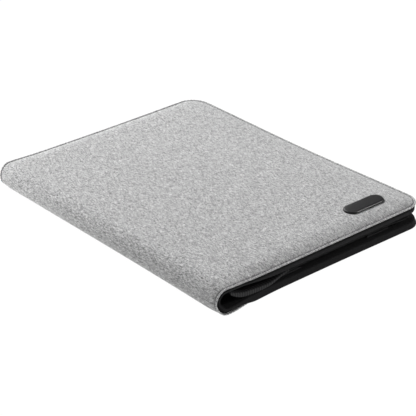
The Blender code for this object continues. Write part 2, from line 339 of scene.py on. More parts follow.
def grid_faces(index):
    """One face for each cell of a grid of vertex numbers."""
    corners = (index[:-1, :-1], index[:-1, 1:], index[1:, 1:], index[1:, :-1])
    return [tuple(face) for face in np.stack(corners, axis=-1).reshape(-1, 4)]


def loop_faces(levels, count):
    """Faces of a solid made of closed loops of points, with one face over each end."""
    faces = []
    for here in range(0, (levels - 1) * count, count):
        above = here + count
        for i in range(count):
            j = (i + 1) % count
            faces.append((here + i, here + j, above + j, above + i))
    faces.append(tuple(range((levels - 1) * count, levels * count)))
    faces.append(tuple(range(count))[::-1])
    return faces


def flipped(faces):
    """The same faces, turned to look the other way."""
    return [face[::-1] for face in faces]


class Sheet:
    """Points of the laid-out cloth, with their depth and UV, and faces in cloth order."""

    def __init__(self):
        self.s, self.y, self.depth, self.uv, self.faces = [], [], [], [], []

    def add(self, s, y, depth, uv_s, uv_y):
        """Adds points and gives the number of the first."""
        first = len(self.s)
        self.s.extend(np.ravel(s))
        self.y.extend(np.ravel(y))
        self.depth.extend(np.ravel(depth))
        self.uv.extend(zip(np.ravel(uv_s), np.ravel(uv_y)))
        return first


def inner_grid(sheet, side, depth_of):
    """The face of a cover inside the fine rings, as rows that run from the fold to the free edge."""
    edge = COARSE_STOPS[:, :2] - COARSE_STOPS[:, 2:4] * COARSE_INSET
    n = EDGE_COLUMNS
    near_row = edge[:n + 1, 0]
    row_ends = edge[n:len(edge) - n]
    stretch = (row_ends[:, :1] - STRETCH_STARTS) / (near_row[-1] - STRETCH_STARTS)
    s = np.minimum(near_row, STRETCH_STARTS) + np.maximum(near_row - STRETCH_STARTS, 0) * stretch
    y = row_ends[:, 1:].repeat(n + 1, 1)
    first = sheet.add(s, y, depth_of(side, s, y, inset_of(s, y)), s, y)
    index = first + np.arange(s.size).reshape(s.shape)
    sheet.faces += grid_faces(index)
    return list(index[0]) + list(index[1:, n]) + list(index[-1, :n][::-1])


def rings(sheet, profile, coarse_ring):
    """Rings of fine points outside the grid. profile holds (inset, uv inset, depth at each fine stop)."""
    firsts = []
    for inset, uv_inset, depth in profile:
        firsts.append(sheet.add(*inside_edge(inset).T, depth, *inside_edge(uv_inset).T))
    for place in range(len(FINE_PLACES) - 1):
        low, high = FINE_PLACES[place], FINE_PLACES[place + 1]
        outer = range(firsts[0] + low, firsts[0] + high + 1)
        sheet.faces.append((*outer, coarse_ring[place + 1], coarse_ring[place]))
    for inner, outer in zip(firsts[:-1], firsts[1:]):
        for i in range(len(FINE_STOPS) - 1):
            sheet.faces.append((outer + i, outer + i + 1, inner + i + 1, inner + i))


def pucker(inset):
    """Extra depth at each fine stop: the needle holes, and creases that run out from them."""
    crease = math.exp(-((inset - GROOVE_INSET) / PUCKER_REACH) ** 2)
    hole = math.exp(-((inset - GROOVE_INSET) / HOLE_WIDTH) ** 2)
    return (PUCKER * crease + HOLE_DEPTH * hole) * AT_HOLE


def uv_insets(points):
    """Distance from the cloth's edge measured along the profile, so the weave runs on round the rim."""
    found = [points[0][0]]
    for (inset_a, depth_a), (inset_b, depth_b) in zip(points[:-1], points[1:]):
        found.append(found[-1] - math.hypot(inset_b - inset_a, depth_b - depth_a))
    return found


def quarter_round(centre_inset, centre_depth, radius, start, end, steps):
    """Points of a round edge in the profile; an angle of 0 points outwards and 90 down."""
    points = []
    for i in range(steps + 1):
        angle = math.radians(start + (end - start) * i / steps)
        points.append((centre_inset - radius * math.cos(angle), centre_depth + radius * math.sin(angle)))
    return points


def outer_profile(side):
    """Rim of the outer cloth: the seam groove, a rounded rim, its wall and the turned-in hem."""
    s = FINE_STOPS[:, 0]
    profile = []
    for inset in RING_INSETS:
        depth = face_depth(side, *inside_edge(inset).T, inset) + pucker(inset)
        profile.append((inset + back_tuck(side, s, inset), inset, depth))
    rim_top = profile[-1][2]
    edge = quarter_round(RIM_ROUND, RIM_ROUND, RIM_ROUND, -72, 0, 4)
    hem = quarter_round(HEM_ROUND, RIM_BOTTOM - HEM_ROUND, HEM_ROUND, 15, 90, 3)
    tail = [(HEM_ROUND + HEM_FLAT, RIM_BOTTOM), (HEM_TURN_IN, RIM_BOTTOM - HEM_RISE)]
    points = edge + hem + tail
    lengths = uv_insets([(RING_INSETS[-1], 0.0)] + points)[1:]
    for (inset, depth), uv_inset in zip(points, lengths):
        profile.append((inset + back_tuck(side, s, inset), uv_inset, depth + rim_top))
    return profile


def back_tuck(side, s, inset):
    """The back cover's rim is drawn in under its lining, but for the part in the fold."""
    if side == "front":
        return np.zeros_like(s)
    return BACK_TUCK * past_fold(s, *BACK_TUCK_RAMP) * max(0.0, 1 - inset / RING_INSETS[0])


def mesh_object(name, points, faces, material, uv=None):
    """A smooth-shaded mesh from points, with one UV pair per point."""
    mesh = bpy.data.meshes.new(name)
    mesh.from_pydata([tuple(map(float, p)) for p in points], [], [tuple(map(int, f)) for f in faces])
    if uv is not None:
        layer = mesh.uv_layers.new(name="cloth")
        corners = np.zeros(len(mesh.loops), dtype=int)
        mesh.loops.foreach_get("vertex_index", corners)
        layer.data.foreach_set("uv", np.asarray(uv, dtype=np.float32)[corners].ravel())
    mesh.shade_smooth()
    mesh.materials.append(material)
    mesh.validate()
    obj = bpy.data.objects.new(name, mesh)
    bpy.context.scene.collection.objects.link(obj)
    return obj


def sheet_object(name, sheet, side, material, facing_out=True):
    """The mesh of a laid-out sheet, wrapped round its half of the case."""
    points = on_case(side, np.array(sheet.s), np.array(sheet.y), np.array(sheet.depth))
    faces = flipped(sheet.faces) if (side == "back") == facing_out else sheet.faces
    uv = np.array(sheet.uv) * (DIRECTION[side], 1) / UV_UNIT
    return mesh_object(name, points, faces, material, uv)


def thicken(obj, thickness):
    """Gives a sheet its thickness on the side away from its normals."""
    solid = obj.modifiers.new("thickness", "SOLIDIFY")
    solid.thickness = thickness
    solid.offset = -1


def bend_with_fold(obj, side):
    """Bakes the placement of half of a soft layer into its mesh; that half already meets the other half in
    the fold's middle.
    """
    if side == "back":
        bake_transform(obj)
    else:
        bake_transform(obj)


# ---------------- materials

class Nodes:
    """Short helpers for one material's node tree."""

    def __init__(self, name, color, roughness):
        self.material = bpy.data.materials.new(name)
        self.material.use_nodes = True
        self.material.diffuse_color = (*color, 1)
        self.tree = self.material.node_tree
        self.shader = self.tree.nodes["Principled BSDF"]
        self.shading({"Base Color": (*color, 1), "Roughness": roughness})

    def shading(self, values):
        """Sets inputs of the shader to plain values."""
        for name, value in values.items():
            self.shader.inputs[name].default_value = value

    def node(self, kind, **settings):
        made = self.tree.nodes.new(kind)
        for key, value in settings.items():
            setattr(made, key, value)
        return made

    def link(self, source, target):
        self.tree.links.new(source, target)

    def put(self, values, targets):
        """Links or sets each input, whichever its value asks for."""
        for value, target in zip(values, targets):
            if isinstance(value, bpy.types.NodeSocket):
                self.link(value, target)
            else:
                target.default_value = value

    def math(self, operation, *values):
        made = self.node("ShaderNodeMath", operation=operation)
        self.put(values, made.inputs)
        return made.outputs[0]

    def ridges(self, distance, pitch):
        """Round ridges from 0 to 1, one for each pitch."""
        return self.math("ABSOLUTE", self.math("SINE", self.math("MULTIPLY", distance, math.pi / pitch)))

    def split(self, vector):
        made = self.node("ShaderNodeSeparateXYZ")
        self.link(vector, made.inputs[0])
        return made.outputs

    def vector(self, x, y):
        made = self.node("ShaderNodeCombineXYZ")
        self.put((x, y), made.inputs)
        return made.outputs[0]

    def uv(self):
        """U and V of the cloth in millimetres."""
        along = self.split(self.node("ShaderNodeUVMap", uv_map="cloth").outputs[0])
        return [self.math("MULTIPLY", along[i], UV_UNIT / MM) for i in range(2)]

    def object_space(self):
        return self.node("ShaderNodeTexCoord").outputs["Object"]

    def noise(self, vector, scale, detail=2.0, roughness=0.5):
        made = self.node("ShaderNodeTexNoise")
        self.put((vector, scale, detail, roughness),
                 [made.inputs[name] for name in ("Vector", "Scale", "Detail", "Roughness")])
        return made.outputs["Fac"]

    def ramp(self, factor, stops):
        made = self.node("ShaderNodeValToRGB")
        while len(made.color_ramp.elements) < len(stops):
            made.color_ramp.elements.new(0.5)
        for element, (position, color) in zip(made.color_ramp.elements, stops):
            element.position = position
            element.color = (*color, 1)
        self.link(factor, made.inputs[0])
        return made.outputs[0]

    def bump(self, height, strength, distance):
        made = self.node("ShaderNodeBump")
        self.put((height, strength, distance),
                 [made.inputs[name] for name in ("Height", "Strength", "Distance")])
        return made.outputs[0]

    def finish(self, color, normal, roughness=None):
        """Links the textures to the shader and gives the material."""
        for name, value in (("Base Color", color), ("Normal", normal), ("Roughness", roughness)):
            if value is not None:
                self.link(value, self.shader.inputs[name])
        return self.material


def weave_height(nodes, u, v, pitch):
    """Plain weave: warp and weft yarns pass over each other in turn.

    Gives the height, 1 where the warp is on top, and the numbers of the warp and the weft yarn."""
    warp_index = nodes.math("FLOOR", nodes.math("DIVIDE", u, pitch))
    weft_index = nodes.math("FLOOR", nodes.math("DIVIDE", v, pitch))
    over = nodes.math("PINGPONG", nodes.math("ADD", warp_index, weft_index), 1.0)
    warp = nodes.math("MULTIPLY", nodes.ridges(u, pitch), over)
    weft = nodes.math("MULTIPLY", nodes.ridges(v, pitch), nodes.math("SUBTRACT", 1.0, over))
    return nodes.math("ADD", warp, weft), over, warp_index, weft_index


def heather_fabric():
    """Light grey melange cloth: each yarn changes between dark and light along its length."""
    nodes = Nodes("heather_fabric", (0.35, 0.35, 0.35), 0.92)
    u, v = nodes.uv()
    height, over, warp_index, weft_index = weave_height(nodes, u, v, 0.42)
    warp_place = nodes.vector(nodes.math("MULTIPLY", warp_index, 7.13), nodes.math("MULTIPLY", v, 0.28))
    weft_place = nodes.vector(nodes.math("MULTIPLY", u, 1.3), nodes.math("MULTIPLY", weft_index, 5.71))
    warp_tone = nodes.noise(warp_place, 1.0, 3.0, 0.9)
    weft_tone = nodes.noise(weft_place, 1.0, 1.0, 0.6)
    tone = nodes.math("ADD", nodes.math("MULTIPLY", warp_tone, nodes.math("MULTIPLY_ADD", over, 0.1, 0.75)),
                      nodes.math("MULTIPLY", weft_tone, nodes.math("MULTIPLY_ADD", over, -0.1, 0.25)))
    color = nodes.ramp(tone, [(0.35, (0.06, 0.06, 0.061)), (0.50, (0.34, 0.34, 0.341)),
                              (0.63, (0.70, 0.70, 0.70))])
    fuzz = nodes.noise(nodes.vector(u, v), 6.0, 3.0, 0.7)
    relief = nodes.math("ADD", height, nodes.math("MULTIPLY", fuzz, 0.8))
    nodes.shading({"Sheen Weight": 0.15, "Sheen Roughness": 0.5, "Specular IOR Level": 0.25})
    return nodes.finish(color=color, normal=nodes.bump(relief, 0.45, 0.12 * MM))


def black_lining():
    """Black woven polyester with a little variation in tone between its yarns."""
    nodes = Nodes("black_lining", (0.0065, 0.0065, 0.0069), 0.8)
    u, v = nodes.uv()
    height, _, warp_index, _ = weave_height(nodes, u, v, 0.36)
    place = nodes.vector(nodes.math("MULTIPLY", warp_index, 3.7), nodes.math("MULTIPLY", v, 0.2))
    tone = nodes.noise(place, 1.0)
    color = nodes.ramp(tone, [(0.3, (0.004, 0.004, 0.0043)), (0.7, (0.009, 0.009, 0.0096))])
    nodes.shading({"Sheen Weight": 0.03, "Specular IOR Level": 0.14})
    return nodes.finish(color=color, normal=nodes.bump(height, 0.5, 0.10 * MM))


def shade_and_highlight(color, dark, light):
    """A darker and a lighter multiple of a colour, for painted shade and painted highlight."""
    return tuple(c * dark for c in color), tuple(c * light for c in color)


def sewing_thread(name, color):
    """Twisted polyester thread, its height changing along a diagonal and its colour with it: painted
    highlight on the twist's ridges and painted shade in its grooves.
    """
    nodes = Nodes(name, color, 0.55)
    x, y, z = nodes.split(nodes.object_space())
    diagonal = nodes.math("ADD", nodes.math("ADD", x, y), z)
    twist = nodes.math("SINE", nodes.math("MULTIPLY", diagonal, 14000.0))
    shade = nodes.math("MULTIPLY_ADD", twist, 0.5, 0.5)
    # The colour follows the twist: painted highlight on its ridges, painted shade in its grooves
    dark, light = shade_and_highlight(color, 0.75, 1.25)
    tint = nodes.ramp(shade, [(0.0, dark), (1.0, light)])
    return nodes.finish(color=tint, normal=nodes.bump(shade, 0.5, 0.05 * MM))


def patch_material():
    """Smooth satin black moulding with a very fine grain."""
    nodes = Nodes("patch_satin_black", (0.014, 0.014, 0.0145), 0.3)
    place = nodes.object_space()
    grain = nodes.noise(place, 5200.0, 3.0, 0.6)
    cloud = nodes.noise(place, 220.0, 2.0)
    roughness = nodes.math("MULTIPLY_ADD", cloud, 0.06, 0.27)
    color = nodes.ramp(grain, [(0.3, (0.011, 0.011, 0.0115)), (0.7, (0.017, 0.017, 0.0175))])
    nodes.shading({"Specular IOR Level": 0.5})
    return nodes.finish(color=color, roughness=roughness, normal=nodes.bump(grain, 0.12, 0.03 * MM))


def ribbed_textile(name, color, rib, roughness):
    """Black narrow fabric with ribs across its length, one for each length of rib in mm. Its colour is
    lighter on the rib crests and darker between them, as painted highlight and painted shade, with a little
    random tone from the fuzz.
    """
    nodes = Nodes(name, color, roughness)
    u, v = nodes.uv()
    ribs = nodes.ridges(u, rib)
    height = nodes.math("ADD", ribs, nodes.math("MULTIPLY", nodes.ridges(v, 0.3), 0.4))
    fuzz = nodes.noise(nodes.vector(u, v), 2.0, 3.0)
    # Painted highlight on the rib crests and painted shade between them, plus a little random tone from the
    # fuzz
    tone = nodes.math("MULTIPLY_ADD", ribs, 0.6, nodes.math("MULTIPLY", fuzz, 0.4))
    dark, light = shade_and_highlight(color, 0.25, 1.5)
    tint = nodes.ramp(tone, [(0.25, dark), (0.75, light)])
    nodes.shading({"Specular IOR Level": 0.3})
    return nodes.finish(color=tint, normal=nodes.bump(height, 0.5, 0.10 * MM))


def foam_material():
    """Grey foam with fine cells."""
    nodes = Nodes("padding_foam", (0.30, 0.30, 0.31), 0.95)
    cells = nodes.noise(nodes.object_space(), 2600.0, 4.0, 0.7)
    color = nodes.ramp(cells, [(0.3, (0.22, 0.22, 0.23)), (0.7, (0.36, 0.36, 0.37))])
    return nodes.finish(color=color, normal=nodes.bump(cells, 0.6, 0.2 * MM))


def board_material():
    """Grey-brown board with short fibres."""
    nodes = Nodes("stiffener_board", (0.33, 0.25, 0.17), 0.9)
    fibres = nodes.noise(nodes.object_space(), 700.0, 5.0, 0.7)
    color = nodes.ramp(fibres, [(0.3, (0.25, 0.19, 0.13)), (0.7, (0.40, 0.31, 0.21))])
    return nodes.finish(color=color, normal=nodes.bump(fibres, 0.3, 0.1 * MM))


# ---------------- covers

def make_cloth(side, material):
    """Outer cloth of one cover and its half of the fold."""
    sheet = Sheet()
    ring = inner_grid(sheet, side, face_depth)
    rings(sheet, outer_profile(side), ring)
    cloth = sheet_object("cloth_" + side, sheet, side, material)
    thicken(cloth, CLOTH_THICKNESS)
    bend_with_fold(cloth, side)
    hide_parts(side + "_shell", *(["spine_shell"] if side == "front" else []))


def stitch_path(side, first, last, lift):
    """Points of one stitch between two needle holes, lifted off the groove's bottom."""
    at_stop = np.linspace(first, last, len(lift))
    number = np.arange(len(FINE_STOPS))
    fine = np.stack([np.interp(at_stop, number, column) for column in FINE_STOPS.T], axis=1)
    edge, normal = fine[:, :2], fine[:, 2:4]
    inset = GROOVE_INSET + back_tuck(side, edge[:, 0], GROOVE_INSET)
    depth = face_depth(side, *(edge - normal * GROOVE_INSET).T, GROOVE_INSET) - lift
    return on_case(side, *(edge - normal * inset[:, None]).T, depth)


def tube(points, radii):
    """Rings of points round a path, with faces and closed ends."""
    tangents = np.gradient(points, axis=0)
    tangents /= np.linalg.norm(tangents, axis=1)[:, None]
    reference = np.array([0.0, 0.0, 1.0])
    if abs(tangents[0] @ reference) > 0.9:
        reference = np.array([0.0, 1.0, 0.0])
    across = np.cross(tangents, reference)
    across /= np.linalg.norm(across, axis=1)[:, None]
    up = np.cross(across, tangents)
    turns = 2 * math.pi * np.arange(THREAD_SIDES) / THREAD_SIDES
    ring = across[:, None] * np.cos(turns)[None, :, None] + up[:, None] * np.sin(turns)[None, :, None]
    made = points[:, None] + ring * np.asarray(radii)[:, None, None]
    return made.reshape(-1, 3), flipped(loop_faces(len(points), THREAD_SIDES))


def joined_tubes(name, paths, radius, material):
    """One object of many short closed tubes, thinner at their ends."""
    points, faces, total = [], [], 0
    for path in paths:
        shape = np.sin(np.linspace(*THREAD_TAPER, len(path)) * math.pi) ** 0.5
        made, made_faces = tube(path, radius * shape / shape.max())
        points.append(made)
        faces += [tuple(i + total for i in face) for face in made_faces]
        total += len(made)
    return mesh_object(name, np.concatenate(points), faces, material)


def make_seam(side, material):
    """Separate topstitches in the groove of one cover and its half of the fold."""
    paths = [stitch_path(side, first, last, STITCH_RISE) for first, last in zip(HOLES[:-1], HOLES[1:])]
    seam = joined_tubes("seam_thread_" + side, paths, THREAD_RADIUS, material)
    bend_with_fold(seam, side)
    spine_threads = ["spine_thread_near", "spine_thread_far"] if side == "front" else []
    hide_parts(side + "_thread", *spine_threads)


# ---------------- lining

LINING_THICKNESS = 0.35 * MM
LINING_INSET = 0.65 * MM
LINING_GROOVE = 0.30 * MM
LINING_RINGS_END = 1.8 * MM
LINING_RING_SHARES = (1.0, 0.7, 0.47, 0.32, 0.2, 0.09, 0.0)
LINING_PUFF = 0.25 * MM
LINING_PUFF_WIDTH = 9 * MM
LINING_WAVES = ((0.06 * MM, 22 * MM, 21.0),)
LINING_DROP = {"front": 2.9 * MM, "back": 0.0}
LINING_DROP_RAMP = (22 * MM, 40 * MM)
LINING_BEAD = 0.9 * MM
LINING_TURN = 0.75 * MM
WALL_TOP = {"front": 4.5 * MM, "back": 0.5 * MM}
FOLD_WALL_TOP = 3.0 * MM
# Points of the wall: distance in mm out from the lining's edge, and share of the wall's height
LINING_WALL = ((-0.05, 0.6), (-0.05, 0.3), (0.05, 0.08), (0.25, 0.0))
# Points of the channel behind the wall: share of the turn in, and share of the way to the cloth's hem
LINING_CHANNEL = ((0.6, 0.0), (1.0, 0.3), (1.0, 0.9))
BEAD_UV_STEP = 0.35 * MM
WALL_UV_STEP = 0.6 * MM
BACK_BEAD_MORE = 0.5 * MM
BACK_WALL_LEAN = 0.5 * MM
BACK_WALL_FLARE = 0.9 * MM
BACK_TURN_MORE = 0.6 * MM


def lining_level(side, s, y):
    """How far below the CAD's lining face the lining lies, hanging slack in the front cover."""
    drop = LINING_DROP[side] * past_fold(s, *LINING_DROP_RAMP)
    return drop + sag_of(s, y) * (side == "front")


def lining_depth(side, s, y, inset):
    """Depth of the lining's inner face, puffed a little between its seam and the middle."""
    near = np.clip(1 - (inset - GROOVE_INSET) / LINING_PUFF_WIDTH, 0, 1)
    groove = LINING_GROOVE * np.exp(-((inset - GROOVE_INSET) / GROOVE_WIDTH) ** 2)
    puff = LINING_PUFF * near * (1 - near) * 4
    wavy = waves(s, y, LINING_WAVES) * (1 - near)
    return LINING_DEPTH + lining_level(side, s, y) + puff - groove + wavy


def lining_profile(side):
    """Edge of the lining: groove, rounded bead and wall, then a dark channel behind the cloth's hem."""
    s, y = FINE_STOPS[:, 0], FINE_STOPS[:, 1]
    away = past_fold(s, *BACK_TUCK_RAMP)
    on_back = away * (side == "back")
    bead_radius = LINING_BEAD + BACK_BEAD_MORE * on_back
    lean = BACK_WALL_LEAN * on_back
    flare = BACK_WALL_FLARE * on_back
    turned = LINING_TURN + BACK_TURN_MORE * on_back
    bottom = LINING_DEPTH + lining_level(side, s, y)
    top = FOLD_WALL_TOP + (WALL_TOP[side] - FOLD_WALL_TOP) * away
    hem = face_depth(side, *inside_edge(RIM_ROUND).T, RIM_ROUND) + RIM_BOTTOM

    profile = []
    rings_end = LINING_RINGS_END + (bead_radius - LINING_BEAD) + lean
    for share in LINING_RING_SHARES:
        inset = rings_end + (RING_INSETS[0] - rings_end) * share
        uv_inset = LINING_RINGS_END + (RING_INSETS[0] - LINING_RINGS_END) * share
        profile.append((inset, uv_inset, lining_depth(side, *inside_edge(inset).T, inset)))
    for inset, above in quarter_round(LINING_INSET + lean + bead_radius, -bead_radius, bead_radius, 80, 5, 5):
        uv_inset -= BEAD_UV_STEP
        profile.append((inset, uv_inset, bottom + above))
    for outward, share in LINING_WALL:
        uv_inset -= WALL_UV_STEP
        inset = LINING_INSET + outward * MM + lean * share - flare * (1 - share)
        profile.append((inset, uv_inset, top + (bottom - bead_radius - top) * share))
    for share, rise in LINING_CHANNEL:
        uv_inset -= WALL_UV_STEP
        profile.append((LINING_INSET - flare + turned * share, uv_inset, top + (hem - top) * rise))
    return profile


def make_lining(side, material):
    """Lining of one cover and its half of the fold."""
    sheet = Sheet()
    ring = inner_grid(sheet, side, lining_depth)
    rings(sheet, lining_profile(side), ring)
    lining = sheet_object("lining_" + side, sheet, side, material, facing_out=False)
    thicken(lining, LINING_THICKNESS)
    bend_with_fold(lining, side)
    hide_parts(side + "_lining", *(["spine_lining"] if side == "front" else []))


# ---------------- padding and boards

LAYER_COLUMNS = 60
LAYER_ROWS = 64
LAYER_SHARP_ANGLE = math.radians(50)
LEAST_THICKNESS = 0.1 * MM
CLOTH_GAP = 0.35 * MM
PADDING_INSET = 2.4 * MM
PADDING_BOTTOM = 4.1 * MM
BOARD_INSET = 2.6 * MM
BOARD_START = QUARTER - FOLD_X + SPINE_LOW.x + 30 * MM
BOARD_ROOM = 1.8 * MM
BOARD_ROOM_RAMP = (BOARD_START - 1.5 * MM, 1.5 * MM)
BOARD_GAP = 0.15 * MM
BOARD_BOTTOM = 4.5 * MM


def inner_layer(name, side, material, start, edge, top_of, bottom_of):
    """Solid layer inside a cover, between two depths given by functions of (s, y, inset)."""
    half = HALF_LENGTH - edge
    s = np.linspace(start, REACH - edge, LAYER_COLUMNS + 1)
    s, y = np.meshgrid(s, np.linspace(-half, half, LAYER_ROWS + 1))
    overshoot = np.maximum(edge - inset_of(s, y), 0)
    s = s - overshoot * smooth_step((s - REACH + CORNER_RADIUS) / CORNER_RADIUS)
    y = y - np.sign(y) * overshoot
    inset = np.maximum(inset_of(s, y), GROOVE_INSET)
    top = top_of(s, y, inset)
    bottom = np.maximum(bottom_of(s, y, inset), top + LEAST_THICKNESS)
    points = np.concatenate([on_case(side, s, y, depth).reshape(-1, 3) for depth in (top, bottom)])
    index = np.arange(s.size).reshape(s.shape)
    faces = grid_faces(index) + flipped(grid_faces(index + s.size))
    border = list(index[0]) + list(index[1:, -1]) + list(index[-1, :-1][::-1]) + list(index[1:-1, 0][::-1])
    for here, following in zip(border, border[1:] + border[:1]):
        faces.append((following, here, here + s.size, following + s.size))
    if side == "back":
        faces = flipped(faces)
    layer = mesh_object(name, points, faces, material)
    layer.data.set_sharp_from_angle(angle=LAYER_SHARP_ANGLE)
    return layer


def under_cloth(side, s, y, inset):
    """Depth at which the padding starts: just under the outer cloth."""
    return face_depth(side, s, y, inset) + CLOTH_THICKNESS + CLOTH_GAP


def padding_floor(s):
    """Depth at which the padding ends. It is thinner where a board lies on it."""
    return PADDING_BOTTOM - BOARD_ROOM * past_fold(s, *BOARD_ROOM_RAMP)


def make_padding(side, material):
    """Foam between cloth and board, and between cloth and lining in the fold."""
    def top(s, y, inset):
        return under_cloth(side, s, y, inset)

    def bottom(s, y, inset):
        return padding_floor(s)

    pad = inner_layer("padding_" + side, side, material, 0.0, PADDING_INSET, top, bottom)
    bend_with_fold(pad, side)
    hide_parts(side + "_foam", *(["spine_foam"] if side == "front" else []))


def make_board(side, material):
    """Stiffener under the padding, from 30 mm beside the fold's outermost line to the free edge."""
    def top(s, y, inset):
        return np.maximum(padding_floor(s), under_cloth(side, s, y, inset)) + BOARD_GAP

    def bottom(s, y, inset):
        return np.full(s.shape, BOARD_BOTTOM)

    board = inner_layer("stiffener_" + side, side, material, BOARD_START, BOARD_INSET, top, bottom)
    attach(board, side + "_cover")
    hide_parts(side + "_board")


# ---------------- name patch

PATCH_ARC_STEPS = 22
PATCH_STANDS_OUT = 0.1 * MM
PATCH_SHARP_ANGLE = math.radians(16)
# Section of the patch's rim in mm: distance in from the outline, and share of the patch's height
PATCH_PROFILE = ((0.10, -0.30), (0.0, -0.05), (0.0, 0.57), (0.03, 0.62), (0.37, 0.95), (0.42, 0.975),
                 (0.50, 0.985), (0.62, 0.98), (0.68, 0.88), (0.78, 0.85), (0.92, 0.85), (0.99, 0.96),
                 (1.10, 0.985), (1.5, 1.0), (3.0, 1.02), (5.6, 1.035))


def make_patch(material):
    """Blank moulded patch with half-round ends, a bevelled rim and a fine groove round its face."""
    low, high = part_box("name_patch")
    centre = (low + high) / 2
    width = high.y - low.y
    reach = (high.x - low.x - width) / 2
    s, y = np.array([centre.x - FOLD_X + QUARTER]), np.array([centre.y])
    seat = HEIGHT - float(face_depth("front", s, y, inset_of(s, y))[0])
    height = high.z - low.z + PATCH_STANDS_OUT
    points = []
    for inset, share in PATCH_PROFILE:
        radius = width / 2 - inset * MM
        for end in (1, -1):
            for i in range(PATCH_ARC_STEPS + 1):
                angle = -math.pi / 2 + math.pi * i / PATCH_ARC_STEPS
                points.append((centre.x + end * (reach + radius * math.cos(angle)),
                               centre.y + end * radius * math.sin(angle), seat + share * height))
    faces = loop_faces(len(PATCH_PROFILE), 2 * (PATCH_ARC_STEPS + 1))
    patch = mesh_object("blank_patch", points, faces, material)
    patch.data.set_sharp_from_angle(angle=PATCH_SHARP_ANGLE)
    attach(patch, "front_cover")
    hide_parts("name_patch")


# ---------------- document pocket

POCKET_LOW, POCKET_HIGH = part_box("document_pocket")
POCKET_TOP_Z = POCKET_HIGH.z
POCKET_FLAT_Z = POCKET_TOP_Z - 2.7 * MM
POCKET_HALF = HALF_LENGTH - 0.7 * MM
POCKET_CORNER = 14 * MM
POCKET_THICKNESS = 0.5 * MM
# Columns of the hanging part, of the flat part and of the part with the round corners
POCKET_COLUMNS = (52, 36, 12)
POCKET_ROWS = 97
# Height of the panel's loose edge at distances from the fold's outermost line
POCKET_EDGE_LINE = ((11, 14.6), (15, 11.6), (19, 9.3), (24, 7.5), (30, 6.7), (37, 6.4), (44, 6.4), (50, 6.9),
                    (56, 8.6), (61, 10.3), (66, 11.4), (71, 11.85), (76, 11.9))
# How far the binding hangs below the panel at the same distances
TAPE_DROP_LINE = ((8, 0.2), (14, 1.4), (20, 2.4), (27, 2.6), (36, 2.3), (46, 1.7), (56, 0.9), (64, 0.2),
                  (76, 0.0))
# The panel hangs least in its middle, and has soft folds: height, length and seed of each
HANG_RANGE = 6 * MM
POCKET_MIDDLE_LIFT = 1.5 * MM
POCKET_MIDDLE = 105 * MM
POCKET_FOLDS = ((0.25 * MM, 20 * MM, 31.0), (0.15 * MM, 8 * MM, 37.0))
# Its corners at the free edge hang too, from these places on
CORNER_HANG = 1.6 * MM
CORNER_HANG_X = 55 * MM
CORNER_HANG_Y = 90 * MM
CORNER_HANG_REACH = 35 * MM
TAPE_WIDTH = 4.2 * MM
TAPE_MIDDLE_DROP = 0.3 * MM
TAPE_RIB = 2.2 * MM
TAPE_SWELL = 0.07
TAPE_STEPS_PER_RIB = 8
# Section of the binding in mm: distance out from the panel's edge, height, share of the drop it takes
TAPE_OUTLINE = ((-4.2, 0.20, 0), (-3.9, 0.45, 0), (-2.0, 0.45, 0), (-0.6, 0.45, 0), (-0.2, 0.35, 0),
                (0.05, 0.10, 0), (0.10, -0.20, 0), (0.10, -0.40, 1), (0.0, -0.62, 1), (-0.35, -0.72, 1),
                (-0.70, -0.62, 1), (-0.80, -0.40, 1), (-0.80, -0.95, 0), (-3.9, -0.95, 0), (-4.2, -0.70, 0),
                (-1.1, -0.62, 0), (-1.1, 0.15, 0))


def smooth_line(x, stops):
    """Value of a smooth curve through stops given as (position, value)."""
    place = np.array([stop[0] for stop in stops], dtype=float)
    value = np.array([stop[1] for stop in stops], dtype=float)
    slope = np.gradient(value, place)
    x = np.clip(x, place[0], place[-1])
    k = np.clip(np.searchsorted(place, x) - 1, 0, len(place) - 2)
    step = place[k + 1] - place[k]
    t = (x - place[k]) / step
    rise = value[k] * (1 + 2 * t) * (1 - t) ** 2 + value[k + 1] * t * t * (3 - 2 * t)
    return rise + slope[k] * step * t * (1 - t) ** 2 - slope[k + 1] * step * t * t * (1 - t)


def pocket_z(x, y):
    """Height of the pocket panel's upper face. It hangs beside the fold, most at its loose edges."""
    edge_line = smooth_line((x - SPINE_LOW.x) / MM, POCKET_EDGE_LINE) * MM
    hanging = np.clip((POCKET_FLAT_Z - edge_line) / HANG_RANGE, 0, 1)
    inner = 1 - smooth_step((np.abs(y) - POCKET_MIDDLE) / (POCKET_HALF - POCKET_MIDDLE))
    folds = waves(x, y, POCKET_FOLDS)
    corner = (smooth_step((x - CORNER_HANG_X) / (POCKET_HIGH.x - CORNER_HANG_X))
              * smooth_step((np.abs(y) - CORNER_HANG_Y) / CORNER_HANG_REACH))
    return edge_line + tape_drop(x) + hanging * (POCKET_MIDDLE_LIFT * inner + folds) - CORNER_HANG * corner


def tape_drop(x):
    """How far the binding's outer side hangs below the panel's edge."""
    return np.maximum(smooth_line((x - SPINE_LOW.x) / MM, TAPE_DROP_LINE), 0.0) * MM


